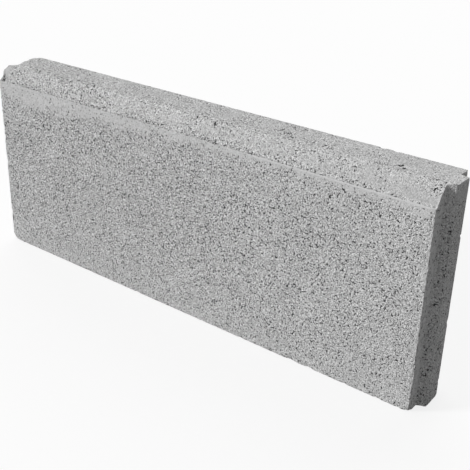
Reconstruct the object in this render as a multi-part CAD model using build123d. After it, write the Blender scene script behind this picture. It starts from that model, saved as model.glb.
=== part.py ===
from build123d import *
import os

# A garden kerb pressed from earth-dry concrete in a steel mould, in one piece, standing on edge.
# Millimetres. The origin is the middle of the base, halfway between the two end faces.
# +X runs along the kerb towards the tongue, -Y is the bevelled front and +Z is up.

# The slab
body_length = 500.0  # end face to end face, which is the length that a laid kerb covers
thickness = 50.0
height = 200.0

# Front top edge, shaped by the pressing shoe
bevel_drop = 16.5  # from the flat top down to the lip on the front face
bevel_depth = 13.0  # from the front face back to the flat top
bevel_bulge = 1.6  # how far the bevel swells out of a straight slope
bevel_blend_radius = 4.0  # where the bevel runs out into the flat top
lip_width = 2.0  # ledge left by the gap between the shoe and the mould wall
lip_rise = 0.7  # how much the ledge climbs from the front face to the bevel
lip_radius = 0.6  # outer edge of the lip

# Arrises
base_radius = 0.8  # the two long edges of the base
back_radius = 0.8  # the long edge at the back of the top
corner_chamfer = 0.5  # the four upright corners

# Tongue on the right end and groove in the left one, both the full height of the slab
tongue_reach = 7.5  # how far the tongue stands out of the end face
tongue_width = 24.0  # at the root, centred on the thickness
front_flank_lean = 3.5  # how far the front flank closes in from root to tip
back_flank_lean = 1.0  # the same for the back flank, which is nearly square
tip_radius = 2.0  # corners of the tongue's tip and of the groove's floor
root_radius = 1.5  # corners of the tongue's root and of the groove's mouth
joint_clearance = 1.0  # room round the tongue in the groove of the next kerb

overrun = 1.0  # how far each profile runs past the other where they cross

front = -thickness / 2
back = thickness / 2
left_end = -body_length / 2
right_end = body_length / 2
lip_height = height - bevel_drop


def corners(sketch, points):
    """The sketch's own vertices at the given points."""
    return [sketch.vertices().sort_by_distance(point)[0] for point in points]


def cross_section():
    """Outline across the slab: plain at the back, with a lip and a bevel above the front face."""
    lip = (front, lip_height)
    bevel_foot = (front + lip_width, lip_height + lip_rise)
    bevel_top = (front + bevel_depth, height)
    back_top = (back, height)
    back_base = (back, 0)
    front_base = (front, 0)
    with BuildSketch() as section:
        with BuildLine():
            SagittaArc(bevel_foot, bevel_top, bevel_bulge)
            Polyline(bevel_top, back_top, back_base, front_base, lip, bevel_foot)
        make_face()
        fillet(corners(section, [bevel_top]), bevel_blend_radius)
        fillet(corners(section, [lip]), lip_radius)
        fillet(corners(section, [back_top]), back_radius)
        fillet(corners(section, [back_base, front_base]), base_radius)
    return section.sketch


def key_points(end, clearance):
    """A key that points along +X from the plane of an end face: root, tip, tip, root."""
    root = tongue_width / 2 + clearance
    tip = end + tongue_reach + clearance
    return [(end, -root), (tip, -root + front_flank_lean), (tip, root - back_flank_lean), (end, root)]


def plan():
    """Outline from above: the end faces with their tongue and groove, open past front and back."""
    tongue = key_points(right_end, 0)
    groove = key_points(left_end, joint_clearance)
    past_front = front - overrun
    past_back = back + overrun
    slab = [(left_end, past_front), (right_end, past_front), (right_end, past_back), (left_end, past_back)]
    outline = slab[:2] + tongue + slab[2:] + groove[::-1]
    roots = [tongue[0], tongue[-1], groove[0], groove[-1]]
    tips = tongue[1:-1] + groove[1:-1]
    with BuildSketch() as ends:
        with BuildLine():
            Polyline(*outline, close=True)
        make_face()
        chamfer(corners(ends, slab), corner_chamfer + overrun)
        fillet(corners(ends, roots), root_radius)
        fillet(corners(ends, tips), tip_radius)
    return ends.sketch


# The cross-section runs the length of the kerb and the plan runs up its height.
# What the two have in common is the kerb, so the lip and the bevel run out through both ends.
along = extrude(Plane.YZ * cross_section(), right_end + tongue_reach + overrun, both=True)
upright = extrude(Plane.XY.offset(-overrun) * plan(), height + 2 * overrun)
kerb_stone = along & upright

os.makedirs("parts", exist_ok=True)
export_step(kerb_stone, "parts/kerb_stone.step")
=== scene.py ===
import math
import random
import bmesh
import bpy
from mathutils import Matrix, Vector, noise


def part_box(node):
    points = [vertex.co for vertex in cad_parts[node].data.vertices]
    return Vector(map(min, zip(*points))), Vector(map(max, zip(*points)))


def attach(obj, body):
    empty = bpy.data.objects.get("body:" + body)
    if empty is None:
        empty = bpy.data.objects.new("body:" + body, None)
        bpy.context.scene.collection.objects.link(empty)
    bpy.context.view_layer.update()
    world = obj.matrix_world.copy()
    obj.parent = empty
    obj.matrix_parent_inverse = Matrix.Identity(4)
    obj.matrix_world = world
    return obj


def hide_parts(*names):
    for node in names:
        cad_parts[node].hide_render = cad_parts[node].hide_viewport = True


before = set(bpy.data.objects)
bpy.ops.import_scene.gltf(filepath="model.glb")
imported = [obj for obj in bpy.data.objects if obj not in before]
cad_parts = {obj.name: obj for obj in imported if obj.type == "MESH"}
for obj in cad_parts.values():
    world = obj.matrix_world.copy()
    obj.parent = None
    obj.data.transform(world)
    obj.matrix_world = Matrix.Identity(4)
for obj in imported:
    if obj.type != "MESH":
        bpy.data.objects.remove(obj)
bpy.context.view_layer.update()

# The kerb: one slab of earth-dry concrete, pressed and shaken in a steel mould and pushed out at once.
# The mould leaves flat faces of packed sand grains with open pores between them. The pressing shoe
# shapes the bevel, and the wet paste that it squeezes out closes the face in a band below the lip.
mm = 0.001
low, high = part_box("kerb_stone")
front, back = low.y, high.y
base, top = low.z, high.z
left_end = low.x
tongue_reach = 7.5 * mm
right_end = high.x - tongue_reach

# The cross-section at the left end: its corners, and how far from each the rounding starts
lip_drop = 16.5 * mm  # from the flat top down to the lip on the front face
lip_width = 2.0 * mm
lip_rise = 0.7 * mm
lip_radius = 0.6 * mm
bevel_depth = 13.0 * mm  # from the front face back to the flat top
bevel_blend = 2.4 * mm
arris_radius = 0.8 * mm
rounding_steps = 2
lip = Vector((left_end, front, top - lip_drop))
bevel_foot = lip + Vector((0, lip_width, lip_rise))
bevel_top = Vector((left_end, front + bevel_depth, top))
outline = [
    (Vector((left_end, front, base)), arris_radius),
    (lip, lip_radius),
    (bevel_foot, 0),
    (bevel_top, bevel_blend),
    (Vector((left_end, back, top)), arris_radius),
    (Vector((left_end, back, base)), arris_radius),
]
kerb = bmesh.new()
corners = [kerb.verts.new(point) for point, rounding in outline]
kerb.faces.new(corners)
for corner, (point, rounding) in zip(corners, outline):
    if rounding:
        bmesh.ops.bevel(
            kerb,
            geom=[corner],
            offset=rounding,
            segments=rounding_steps,
            profile=0.5,
            affect="VERTICES",
            material=-1,
        )

# The bevel swells out of its straight slope along a parabola
bevel_bulge = 1.6 * mm
bevel_steps = 8
slope = bevel_top - bevel_foot
outward = Vector((0, -slope.z, slope.y)).normalized()
bevel_edges = [e for e in kerb.edges if all(v.co.z > lip.z and v.co.y < bevel_top.y for v in e.verts)]
bevel_edge = max(bevel_edges, key=lambda edge: edge.calc_length())
swell_length = bevel_edge.calc_length()
split = bmesh.ops.subdivide_edges(kerb, edges=[bevel_edge], cuts=bevel_steps - 1)
for vert in {v for v in split["geom_inner"] if isinstance(v, bmesh.types.BMVert)}:
    along = (vert.co - bevel_foot).length / swell_length
    vert.co += outward * bevel_bulge * 4 * along * (1 - along)
bevel_points = [v.co.copy() for v in kerb.verts if v.co.z > lip.z and v.co.y < bevel_top.y]
bevel_points.sort(key=lambda point: point.z)

# The slab is drawn out of that section, then diced finely enough to carry its worn surface,
# with finer cells where the flanks of the tongue and the groove will stand
tongue_half_width = 12.0 * mm  # at the root of the tongue
front_flank_lean = 3.5 * mm
back_flank_lean = 1.0 * mm
joint_clearance = 1.0 * mm
cell = 1.75 * mm
front_flank_cell = 0.45 * cell
back_flank_cell = 0.2 * cell
cut_tolerance = 0.02 * mm
extruded = bmesh.ops.extrude_face_region(kerb, geom=kerb.faces[:])["geom"]
far_end = [v for v in extruded if isinstance(v, bmesh.types.BMVert)]
bmesh.ops.translate(kerb, verts=far_end, vec=Vector((right_end - left_end, 0, 0)))
bmesh.ops.recalc_face_normals(kerb, faces=kerb.faces[:])


def spread(start, end, size):
    """Evenly spaced places from start to end, both included, about one size apart."""
    count = max(1, round((end - start) / size))
    return [start + (end - start) * step / count for step in range(count + 1)]


front_flank = (-tongue_half_width - joint_clearance, -tongue_half_width + front_flank_lean)
back_flank = (tongue_half_width - back_flank_lean, tongue_half_width + joint_clearance)
heights = spread(base + arris_radius, lip.z - lip_radius, cell) + [p.z for p in bevel_points]
depths = [front + arris_radius] + [p.y for p in bevel_points if p.y < front_flank[0]]
depths += spread(*front_flank, front_flank_cell)
depths += spread(front_flank[1], back_flank[0], cell)[1:]
depths += spread(*back_flank, back_flank_cell)[1:]
depths += spread(back_flank[1], back - arris_radius, cell)[1:]
for axis, cuts in ((Vector((0, 0, 1)), heights), (Vector((0, 1, 0)), depths)):
    for cut in cuts:
        bmesh.ops.bisect_plane(
            kerb,
            geom=kerb.verts[:] + kerb.edges[:] + kerb.faces[:],
            dist=cut_tolerance,
            plane_co=axis * cut,
            plane_no=axis,
        )
lengthwise = [e for e in kerb.edges if abs(e.verts[0].co.x - e.verts[1].co.x) > cell]
columns = round((right_end - left_end) / cell)
bmesh.ops.subdivide_edges(kerb, edges=lengthwise, cuts=columns - 1, use_grid_fill=True)

# The tongue stands out of the right end, the groove goes into the left one, and both keep cut corners
groove_depth = tongue_reach + joint_clearance
key_blend = 30.0 * mm  # the length of mesh behind each end face that is stretched to make them
corner_cut = 0.5 * mm
sharp_angle = math.radians(40)
arris_angle = math.radians(25)
arris_easing = 0.2
all_axes = {"use_axis_x": True, "use_axis_y": True, "use_axis_z": True}


def ramp(value, start, end):
    """0 up to start and 1 from end on, straight between them; end may be the smaller of the two."""
    return min(1.0, max(0.0, (value - start) / (end - start)))


def key_height(y, clearance):
    """How far the tongue's outline stands out at a place across the slab, as a share of its reach."""
    root = tongue_half_width + clearance
    return ramp(y, -root, -root + front_flank_lean) * ramp(y, root, root - back_flank_lean)


for vert in kerb.verts:
    x, y = vert.co.xy
    near_right = ramp(x, right_end - key_blend, right_end)
    near_left = ramp(x, left_end + key_blend, left_end)
    cut_corner = max(0, corner_cut - (y - front), corner_cut - (back - y))
    vert.co.x += near_right * (tongue_reach * key_height(y, 0) - cut_corner)
    vert.co.x += near_left * (groove_depth * key_height(y, joint_clearance) + cut_corner)
for edge in kerb.edges:
    edge.smooth = edge.calc_face_angle(0) < sharp_angle

# The arrises are kept by index, because a new layer gives every vertex a new object
kerb.verts.index_update()
arris = {v.index for e in kerb.edges if e.calc_face_angle(0) > arris_angle for v in e.verts}
end_arris = [v for v in kerb.verts if v.index in arris and abs(v.co.x) > -left_end - 2 * cell]
bmesh.ops.smooth_vert(kerb, verts=end_arris, factor=arris_easing, **all_axes)

# Broken corners and chips in the arrises: middle, radius and depth
chips = [
    (Vector((left_end, front, base)), 6 * mm, 2.2 * mm),
    (Vector((left_end, back, top)), 9 * mm, 3.0 * mm),
    (Vector((left_end, tongue_half_width, top)), 8 * mm, 2.6 * mm),
    (Vector((left_end, front + bevel_depth, top)), 9 * mm, 2.6 * mm),
    (Vector((left_end + groove_depth, -6 * mm, top)), 7.5 * mm, 2.6 * mm),
    (Vector((left_end, front + 4 * mm, lip.z + 5 * mm)), 3.5 * mm, 2.0 * mm),
    (Vector((right_end, front, lip.z - 2 * mm)), 3 * mm, 1.2 * mm),
    (Vector((right_end, front, base)), 5 * mm, 1.8 * mm),
    (Vector((131.5 * mm, front, base)), 4 * mm, 1.2 * mm),
    (Vector((151 * mm, front, base)), 4 * mm, 1.2 * mm),
    (Vector((220.5 * mm, front, base)), 3.5 * mm, 1.0 * mm),
    (Vector((176 * mm, back, top)), 3 * mm, 1.0 * mm),
    (Vector((189 * mm, back, top)), 3 * mm, 1.0 * mm),
]

# Small nicks, scattered along the upright corners and the long edges of the base
nick_count = 34
nick_radius = (2.0 * mm, 3.5 * mm)
nick_depth = (0.4 * mm, 1.0 * mm)
draw = random.Random(41)
for _ in range(nick_count):
    end = draw.choice((left_end, right_end))
    side = draw.choice((front, back))
    upright = Vector((end, side, draw.uniform(base, lip.z)))
    level = Vector((draw.uniform(left_end, right_end), draw.choice((front, back)), base))
    chips.append((draw.choice((upright, level)), draw.uniform(*nick_radius), draw.uniform(*nick_depth)))

# Blowholes, where air was shut in: middle, radius and depth
blowholes = [
    (Vector((206 * mm, -1 * mm, top)), 2.6 * mm, 1.4 * mm),
    (Vector((211 * mm, -5 * mm, top)), 1.9 * mm, 1.0 * mm),
    (Vector((197 * mm, -6 * mm, top)), 2.1 * mm, 0.9 * mm),
    (Vector((190 * mm, -8 * mm, top)), 1.9 * mm, 0.8 * mm),
    (Vector((243 * mm, -17.4 * mm, 194.9 * mm)), 1.6 * mm, 1.6 * mm),
    (Vector((33 * mm, -14.5 * mm, 197 * mm)), 2.8 * mm, 1.3 * mm),
    (Vector((88.5 * mm, 6.5 * mm, top)), 2.4 * mm, 1.2 * mm),
    (Vector((98 * mm, 1.5 * mm, top)), 2.4 * mm, 1.2 * mm),
    (Vector((107 * mm, -4 * mm, top)), 2.4 * mm, 1.2 * mm),
    (Vector((40 * mm, front, 184 * mm)), 2.2 * mm, 0.8 * mm),
    (Vector((46 * mm, front, 182.5 * mm)), 2.0 * mm, 0.6 * mm),
    # These two stand for the broken lip at the left end, whose fracture lies in shade, and are darkened
    # with painted shade
    (Vector((-246.5 * mm, -21 * mm, 188 * mm)), 3.2 * mm, 1.6 * mm),
    (Vector((-245 * mm, -23 * mm, 185 * mm)), 3.2 * mm, 1.6 * mm),
]
face_depth = 1.0 * mm  # how far behind the plane of a face a point still belongs to it


def on_front_face(y):
    """1 on the front face, fading to 0 behind it."""
    return ramp(y, front + face_depth, front)


def on_end_face(x):
    """1 on the right end face and on the tongue, fading to 0 behind them."""
    return ramp(x, right_end - face_depth, right_end)


def blend(first, second, share):
    """From first, at a share of 0, to second, at a share of 1."""
    return first + (second - first) * share


# The film of paste lies in a ragged band below the lip, wider to the left, with one bulge near the right
# end. The same film also carries painted light: a crest along the lip, partly paste and partly a painted
# highlight, a trace at the foot of the front, partly paste and partly painted light bounced up from the
# floor, and a strip down the end, which is painted light from the front with painted shade at its foot.
band_narrow = 5 * mm
band_wide = 16 * mm
band_widening = (60 * mm, -180 * mm)
bulge_drop = 5 * mm
bulge_middle = 236 * mm
bulge_fade = (18 * mm, 4 * mm)
band_raggedness = 9 * mm
band_edge = (-4 * mm, 4 * mm)
band_mottle = 4 * mm
crest_edge = (lip.z - 2.2 * mm, lip.z - 1.2 * mm)
crest_start = (-60 * mm, 120 * mm)
trace_edge = (base + 55 * mm, base + 4 * mm)
strip_edge = (-11 * mm, -16 * mm)
strip_foot_shade = (base, base + 25 * mm)
strip_mottle = 3.2 * mm


def paste_and_painted_light(place, lobes):
    """How much of the light film, of squeezed-out paste and of painted light, lies at a place, from 0 to 1.
    """
    x, y, z = place
    band = blend(band_narrow, band_wide, ramp(x, *band_widening))
    bulge = bulge_drop * ramp(abs(x - bulge_middle), *bulge_fade)
    above_edge = z + band_raggedness * lobes - (lip.z - band - bulge)
    below_lip = blend(0.35, 0.7, ramp(noise.noise(place / band_mottle), -0.4, 0.4))
    below_lip *= ramp(above_edge, *band_edge)
    # Along the lip the film is partly paste and partly a painted highlight on the rounded crest
    crest_and_highlight = ramp(z, *crest_edge) * ramp(x, *crest_start)
    # Towards the foot of the front the film is partly paste and partly painted light bounced up from the
    # floor
    trace_and_bounce_light = 0.16 * ramp(z, *trace_edge)
    # Down the end the film is painted light falling from the front, in mottles, lighter towards the front
    # corner, with painted shade towards the foot
    lit_strip = on_end_face(x) * blend(0.25, 1, ramp(y, *strip_edge)) * blend(0.4, 1, ramp(z, *strip_foot_shade))
    lit_strip *= ramp(noise.noise(place / strip_mottle), -0.25, 0.1)
    return max(on_front_face(y) * max(below_lip, crest_and_highlight, trace_and_bounce_light), lit_strip)


# The shoe closes the bevel and the top in lobes, more to the right and at the back, less on the flat
# top and at the left, and it closes the left corner of the bevel. The mould closes a line beside the
# right arris, the front a little towards its edges, the ends in mottles, and scattered patches.
shoe_edge = (bevel_foot.z + 2 * mm, bevel_foot.z + 5 * mm)
shoe_edge_sag = 3 * mm
shoe_edge_sagging = (150 * mm, 210 * mm)
upper_bevel = (lip.z + 6 * mm, top)
flat_top = (top - 0.6 * mm, top - 0.2 * mm)
back_of_top = (-6 * mm, 18 * mm)
back_start = (-230 * mm, -120 * mm)
right_stretch = (205 * mm, 235 * mm)
left_stretch = (-100 * mm, -180 * mm)
closed_corner = lip + Vector((0, 7 * mm, 9 * mm))
corner_raggedness = 10 * mm
corner_edge = (16 * mm, 9 * mm)
line_raggedness = 3 * mm
line_edge = (right_end - 4 * mm, right_end - 2 * mm)
end_mottle = 7 * mm


def closed_face(place, lobes):
    """How far the pressing has closed the face over the grains, from 0 to 1."""
    x, y, z = place
    on_shoe = ramp(z + shoe_edge_sag * ramp(x, *shoe_edge_sagging), *shoe_edge)
    shoe_face = 0.4 - 0.2 * ramp(z, *upper_bevel) - 0.1 * ramp(z, *flat_top)
    shoe_face += 0.35 * lobes + 0.15 * ramp(y, *back_of_top) * ramp(x, *back_start)
    shoe_face += 0.2 * ramp(x, 0, right_end) + 0.1 * ramp(x, *right_stretch) - 0.2 * ramp(x, *left_stretch)
    corner = ramp((place - closed_corner).length - corner_raggedness * lobes, *corner_edge)
    arris_line = on_front_face(y) * ramp(x + line_raggedness * lobes, *line_edge)
    end_face = on_end_face(abs(x)) * (0.1 + 0.8 * noise.noise(place / end_mottle))
    packed = on_front_face(y) * (0.4 * (2 * z / top - 1) ** 2 + ramp(x, 0, 1.5 * right_end))
    patches = ramp(lobes, 0.75, 0.95)
    return max(on_shoe * shoe_face, corner, 0.6 * arris_line, end_face, 0.3 * packed, 0.6 * patches)


# The crease at the foot of the bevel has crumbled along most of its length, least at its two ends, and the
# material opens its grain and pits there, which paints shade into the crease
crease_reach = (2.6 * mm, 1.0 * mm)
crease_start = (-249 * mm, -240 * mm)
crease_growth = (-215 * mm, -185 * mm)
crease_decline = (170 * mm, 200 * mm)
crumble_decline = (60 * mm, 160 * mm)
crumble_mottle = 5 * mm


def crease_crumble_and_shade(place):
    """How far the concrete in the crease has crumbled away at a place, from 0 to 1, and how much painted
    shade it takes.
    """
    crease = ramp((place - bevel_foot).yz.length, *crease_reach) * ramp(place.x, *crease_start)
    crease *= blend(0.15, 1, ramp(place.x, *crease_growth)) * blend(1, 0.3, ramp(place.x, *crease_decline))
    mottle = ramp(noise.noise(place / crumble_mottle), -0.2, 0.5)
    return crease * (0.55 - 0.35 * ramp(place.x, *crumble_decline) + 0.4 * mottle)


# The worn surface: every point is sunk below the mould's face, and its finish is kept for the material,
# together with the painted light and shade that go with it.
# Closed faces stay smooth, open ones are grainy and pitted, and the arrises are worn away in places.
lobe_layers = ((1.0, 22 * mm), (0.6, 9 * mm), (0.4, 4 * mm))  # weight and size
wave_height = 0.12 * mm
wave_size = 45 * mm
grain_height = 0.08 * mm
grain_size = 3.4 * mm
pit_depth = 0.8 * mm
pit_size = 4.2 * mm
pit_shift = Vector((7, 3, 1))  # moves the pattern of the pits off that of the grains
crumble_depth = 0.5 * mm
arris_wear = 0.4 * mm
rim_wear = 1.8 * mm  # at the front arris of the right end
rim_depth = (front + 2 * mm, front + 1 * mm)
rim_length = (right_end - 2 * mm, right_end - 1 * mm)
wear_size = 3 * mm
torn_middle = -10 * mm  # on the front flank of the tongue
torn_reach = (5 * mm, 2 * mm)
torn_size = 5 * mm
chip_roughness = 4 * mm
hollow_power = 0.6  # below 1 it makes the sides of a hollow steeper and its floor flatter
# A blowhole's darkening is painted shade, which deepens as the hole gets deeper
blowhole_shading = 3 / mm  # how strongly a blowhole darkens with its depth
kerb.normal_update()
normals = [v.normal.copy() for v in kerb.verts]
open_layer = kerb.verts.layers.float.new("open_grain")
paste_and_light_layer = kerb.verts.layers.float.new("paste_and_light_film")
pit_layer = kerb.verts.layers.float.new("pit")
for vert, normal in zip(kerb.verts, normals):
    place = vert.co.copy()
    lobes = sum(weight * noise.noise(place / size) for weight, size in lobe_layers)
    paste_and_light = paste_and_painted_light(place, lobes)
    open_grain = 1 - 0.7 * min(1, max(paste_and_light, closed_face(place, lobes)))
    crumble_and_shade = crease_crumble_and_shade(place)
    wave = wave_height * (1 + noise.noise(place / wave_size))
    grain = grain_height * (1 + noise.noise(place / grain_size))
    pit = ramp(noise.noise(place / pit_size + pit_shift), 0.52, 0.75)
    depth = wave + blend(0.1, 1, open_grain) * (grain + pit_depth * pit) + crumble_depth * crumble_and_shade
    if vert.index in arris:
        rim = ramp(place.y, *rim_depth) * ramp(place.x, *rim_length)
        worn = ramp(noise.noise(place / wear_size), 0.0, 0.7)
        depth = 0.5 * depth + blend(arris_wear, rim_wear, rim) * worn
    on_end = on_end_face(place.x)
    torn = on_end * ramp(abs(place.y - torn_middle), *torn_reach)
    torn *= ramp(noise.noise(place / torn_size), -0.1, 0.4)
    pit = max(pit * open_grain * (1 - 0.5 * on_end), 0.2 * crumble_and_shade, 0.1 * torn)
    # Chips and blowholes open more voids in the material, and so take more painted shade in their hollows
    for middle, radius, sunk in chips:
        reach = 1 - (place - middle).length / radius
        if reach > 0:
            depth += sunk * reach ** hollow_power * (0.8 + 0.5 * noise.noise(place / chip_roughness))
            pit = max(pit, reach)
    for middle, radius, sunk in blowholes:
        reach = 1 - (place - middle).length / radius
        if reach > 0:
            depth += sunk * reach ** hollow_power
            pit = max(pit, blowhole_shading * sunk * reach)
    vert[open_layer] = max(open_grain, crumble_and_shade)
    vert[paste_and_light_layer] = paste_and_light * (1 - crumble_and_shade)
    vert[pit_layer] = pit
    vert.co -= normal * depth

# A deep chip can fold the skin over itself at an arris, so the folds are eased out
fold_angle = math.radians(95)
easing_rounds = 10
fold_easing = 0.5
for _ in range(easing_rounds):
    kerb.normal_update()
    folds = [e for e in kerb.edges if e.calc_face_angle(0) > fold_angle]
    folded = {v for e in folds for f in e.link_faces for v in f.verts}
    bmesh.ops.smooth_vert(kerb, verts=list(folded), factor=fold_easing, **all_axes)

kerb_mesh = bpy.data.meshes.new("kerb_stone_concrete")
kerb.normal_update()
kerb.to_mesh(kerb_mesh)
kerb.free()
kerb_mesh.polygons.foreach_set("use_smooth", [True] * len(kerb_mesh.polygons))
kerb_piece = bpy.data.objects.new("kerb_stone_concrete", kerb_mesh)
bpy.context.collection.objects.link(kerb_piece)
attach(kerb_piece, "root")
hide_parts("kerb_stone")


def colour(code):
    """An sRGB hex colour as linear red, green, blue and alpha."""
    parts = [int(code[i:i + 2], 16) / 255 for i in (1, 3, 5)]
    return [p / 12.92 if p <= 0.04045 else ((p + 0.055) / 1.055) ** 2.4 for p in parts] + [1.0]


def add_node(tree, kind, inputs=None, **settings):
    """A node with its settings; an input takes a value, or a link where it is given a socket."""
    node = tree.nodes.new(kind)
    for name, value in settings.items():
        setattr(node, name, value)
    for name, value in (inputs or {}).items():
        if isinstance(value, bpy.types.NodeSocket):
            tree.links.new(value, node.inputs[name])
        else:
            node.inputs[name].default_value = value
    return node


# Dry-pressed concrete: sand and fine grit coated with grey cement, dull all over. The grains lie open, so
# the face is a bed of small domes, and the voids between them carry a nearly black painted shade. Where
# paste has closed the face there are few voids and little grain.
grit_spacing = 1.3 * mm
sand_spacing = 0.7 * mm  # the finest sand is far smaller, and is drawn this coarse so that it shows
grit_stir = 0.5 * mm
cloud_size = 40 * mm
dome_height = 0.6 * mm
sand_share = 0.4  # the height of a sand dome as a share of a grit dome's
void_share = 0.6  # the same for the drop into a void
void_opens = 0.98  # from a grain's middle, in grit spacings
void_full = 1.10
open_loosening = 0.32  # how much nearer to the middle a void opens in an open face
pit_loosening = 0.2  # the same in a pit
dark_sand = colour("#868686")
light_sand = colour("#ffffff")
closed_grey = colour("#b2b2b2")
paste_and_light_grey = colour("#d8d8d8")
cloud_shade = colour("#f0f0f0")
cloud_light = colour("#ffffff")
painted_void_shade = colour("#262626")
concrete = bpy.data.materials.new("dry_pressed_concrete")
concrete.use_nodes = True
concrete_tree = concrete.node_tree
shader = concrete_tree.nodes["Principled BSDF"]
openness = add_node(concrete_tree, "ShaderNodeAttribute", attribute_name="open_grain").outputs["Fac"]
paste_and_light_share = add_node(concrete_tree, "ShaderNodeAttribute", attribute_name="paste_and_light_film").outputs["Fac"]
pitting = add_node(concrete_tree, "ShaderNodeAttribute", attribute_name="pit").outputs["Fac"]

# The pattern is turned, so that no face of the kerb lies along the rows of its cells
pattern_turn = [math.radians(angle) for angle in (37, 23, 51)]
position = add_node(concrete_tree, "ShaderNodeTexCoord").outputs["Object"]
spot = add_node(
    concrete_tree, "ShaderNodeMapping", {"Vector": position, "Rotation": pattern_turn}
).outputs["Vector"]

# The grit's outlines are stirred, so that no grain is a clean polygon
swirl = add_node(
    concrete_tree, "ShaderNodeTexNoise", {"Vector": spot, "Scale": 1 / grit_spacing, "Detail": 1.0}
).outputs["Color"]
stirred = add_node(
    concrete_tree,
    "ShaderNodeVectorMath",
    {0: swirl, 1: (grit_stir, grit_stir, grit_stir), 2: spot},
    operation="MULTIPLY_ADD",
).outputs[0]
grit = add_node(
    concrete_tree, "ShaderNodeTexVoronoi", {"Vector": stirred, "Scale": 1 / grit_spacing}
).outputs["Distance"]
sand = add_node(
    concrete_tree,
    "ShaderNodeTexVoronoi",
    {"Vector": stirred, "Scale": 1 / sand_spacing, "Smoothness": 0.4},
    feature="SMOOTH_F1",
).outputs
clouds = add_node(
    concrete_tree, "ShaderNodeTexNoise", {"Vector": spot, "Scale": 1 / cloud_size, "Detail": 3.0}
).outputs["Fac"]

# A void opens where a point lies far from every grain's middle, sooner in open faces and in pits, so these
# take more of the voids' painted shade
loose = add_node(
    concrete_tree, "ShaderNodeMath", {0: openness, 1: open_loosening, 2: grit}, operation="MULTIPLY_ADD"
).outputs[0]
looser = add_node(
    concrete_tree, "ShaderNodeMath", {0: pitting, 1: pit_loosening, 2: loose}, operation="MULTIPLY_ADD"
).outputs[0]
void = add_node(
    concrete_tree,
    "ShaderNodeMapRange",
    {"Value": looser, "From Min": void_opens, "From Max": void_full},
    interpolation_type="SMOOTHSTEP",
).outputs["Result"]

# The colour: sand grains of mixed tones, closed face, paste with its painted light, faint clouds and the
# painted shade of the voids, in that order.
# A Mix node has its own sockets for colours, known by number.
share, under, over, mixed = 0, 6, 7, 2
tone = add_node(concrete_tree, "ShaderNodeSeparateColor", {"Color": sand["Color"]}).outputs["Red"]
grains = add_node(
    concrete_tree, "ShaderNodeMix", {share: tone, under: dark_sand, over: light_sand}, data_type="RGBA"
).outputs[mixed]
faced = add_node(
    concrete_tree, "ShaderNodeMix", {share: openness, under: closed_grey, over: grains}, data_type="RGBA"
).outputs[mixed]
# The film's colour: squeezed-out paste, and painted light along the lip, at the front's foot and down the
# end
pasted_and_lit = add_node(
    concrete_tree, "ShaderNodeMix", {share: paste_and_light_share, under: faced, over: paste_and_light_grey}, data_type="RGBA"
).outputs[mixed]
clouding = add_node(
    concrete_tree,
    "ShaderNodeMix",
    {share: clouds, under: cloud_shade, over: cloud_light},
    data_type="RGBA",
).outputs[mixed]
clouded = add_node(
    concrete_tree,
    "ShaderNodeMix",
    {share: 1.0, under: pasted_and_lit, over: clouding},
    data_type="RGBA",
    blend_type="MULTIPLY",
).outputs[mixed]
# The voids take a painted shade, as dark as the shade down in a hole
void_shaded = add_node(
    concrete_tree, "ShaderNodeMix", {share: void, under: clouded, over: painted_void_shade}, data_type="RGBA"
).outputs[mixed]
concrete_tree.links.new(void_shaded, shader.inputs["Base Color"])

# The domes: sand on grit, as deep as the face is open, and deeper in the voids
dome = add_node(
    concrete_tree, "ShaderNodeMath", {0: sand["Distance"], 1: sand_share, 2: grit}, operation="MULTIPLY_ADD"
).outputs[0]
bed = add_node(
    concrete_tree, "ShaderNodeMath", {0: dome, 1: openness}, operation="MULTIPLY"
).outputs[0]
sunken = add_node(
    concrete_tree, "ShaderNodeMath", {0: void, 1: void_share, 2: bed}, operation="MULTIPLY_ADD"
).outputs[0]
bump = add_node(
    concrete_tree,
    "ShaderNodeBump",
    {"Height": sunken, "Strength": 1.0, "Distance": dome_height},
    invert=True,
).outputs["Normal"]
concrete_tree.links.new(bump, shader.inputs["Normal"])
shader.inputs["Roughness"].default_value = 0.95
shader.inputs["Specular IOR Level"].default_value = 0.2
kerb_mesh.materials.append(concrete)

# The floor: a studio floor of matt white paint, one flat sheet under the kerb that takes its shadow.
# What sees it directly sees it nearly white, with a glow mixed into the paint, and the light that it
# throws back onto the kerb is that of a grey floor.
floor_size = 14.0
floor_glow = 0.8
sheet = bmesh.new()
bmesh.ops.create_grid(sheet, x_segments=1, y_segments=1, size=floor_size / 2)
floor_mesh = bpy.data.meshes.new("studio_floor")
sheet.to_mesh(floor_mesh)
sheet.free()
floor = bpy.data.objects.new("studio_floor", floor_mesh)
bpy.context.collection.objects.link(floor)


def direct_view(tree):
    """1 for a ray from the camera, from a reflection or through glass, and 0 for any other."""
    rays = add_node(tree, "ShaderNodeLightPath").outputs
    mirrored = add_node(
        tree, "ShaderNodeMath", {0: rays["Is Camera Ray"], 1: rays["Is Glossy Ray"]}, operation="ADD"
    ).outputs[0]
    return add_node(
        tree, "ShaderNodeMath", {0: mirrored, 1: rays["Is Transmission Ray"]}, operation="ADD"
    ).outputs[0]


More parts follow.
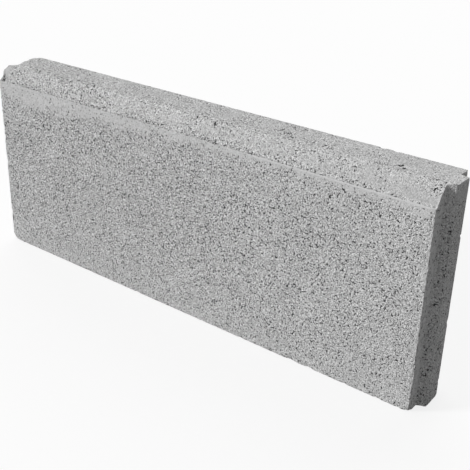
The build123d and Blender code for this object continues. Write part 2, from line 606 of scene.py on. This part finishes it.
floor_paint = bpy.data.materials.new("matt_white_floor")
floor_paint.use_nodes = True
floor_tree = floor_paint.node_tree
floor_tree.nodes.remove(floor_tree.nodes["Principled BSDF"])
white_paint = add_node(floor_tree, "ShaderNodeBsdfDiffuse", {"Color": colour("#fcfcfc")}).outputs[0]
glow = add_node(floor_tree, "ShaderNodeEmission", {"Color": colour("#ffffff"), "Strength": 1.0}).outputs[0]
pale = add_node(floor_tree, "ShaderNodeMixShader", {0: floor_glow, 1: white_paint, 2: glow}).outputs[0]
dull = add_node(floor_tree, "ShaderNodeBsdfDiffuse", {"Color": colour("#656565")}).outputs[0]
paint = add_node(
    floor_tree, "ShaderNodeMixShader", {0: direct_view(floor_tree), 1: dull, 2: pale}
).outputs[0]
floor_tree.links.new(paint, floor_tree.nodes["Material Output"].inputs["Surface"])
floor_mesh.materials.append(floor_paint)

# The light: a low key lamp in front on the left and a broad soft fill behind on the left, both as far off
# as the sun, and an even surround that is white to look at and lights the kerb only dimly.
# Each lamp has the direction that it shines from, its strength and its breadth in degrees.
lamps = {
    "key_light": (Vector((-0.60, -0.57, 0.26)), 2.92, 12),
    "fill_light": (Vector((-0.50, 0.70, 0.50)), 1.6, 70),
}
for name, (direction, strength, breadth) in lamps.items():
    lamp_data = bpy.data.lights.new(name, "SUN")
    lamp_data.energy = strength
    lamp_data.angle = math.radians(breadth)
    lamp = bpy.data.objects.new(name, lamp_data)
    lamp.rotation_euler = direction.to_track_quat("Z", "Y").to_euler()
    bpy.context.collection.objects.link(lamp)
surround_light = 0.40
surround = bpy.data.worlds.new("pale_surround")
surround.use_nodes = True
surround_tree = surround.node_tree
white = colour("#ffffff")
dim = add_node(
    surround_tree, "ShaderNodeBackground", {"Color": white, "Strength": surround_light}
).outputs[0]
bright = add_node(surround_tree, "ShaderNodeBackground", {"Color": white, "Strength": 1.0}).outputs[0]
sky = add_node(
    surround_tree, "ShaderNodeMixShader", {0: direct_view(surround_tree), 1: dim, 2: bright}
).outputs[0]
surround_tree.links.new(sky, surround_tree.nodes["World Output"].inputs["Surface"])
bpy.context.scene.world = surround

# The camera: on the right in front of the kerb and above it, looking down at its front and right end.
# Its place, turn and focal length come from the straight edges of the kerb, as the picture shows them.
camera_place = Vector((0.4841, -0.5747, 0.4398))
camera_azimuth = math.radians(37.29)
camera_elevation = math.radians(25.92)
camera_roll = math.radians(1.59)
image_side_px = 470
focal_length_px = 865.95
sensor_width_mm = 36.0
camera_data = bpy.data.cameras.new("camera")
camera_data.sensor_width = sensor_width_mm
camera_data.lens = sensor_width_mm * focal_length_px / image_side_px
camera = bpy.data.objects.new("camera", camera_data)
aim = Matrix.Rotation(camera_azimuth, 4, "Z") @ Matrix.Rotation(math.pi / 2 - camera_elevation, 4, "X")
camera.matrix_world = Matrix.Translation(camera_place) @ aim @ Matrix.Rotation(camera_roll, 4, "Z")
bpy.context.collection.objects.link(camera)
bpy.context.scene.camera = camera
bpy.context.scene.view_settings.view_transform = "Standard"
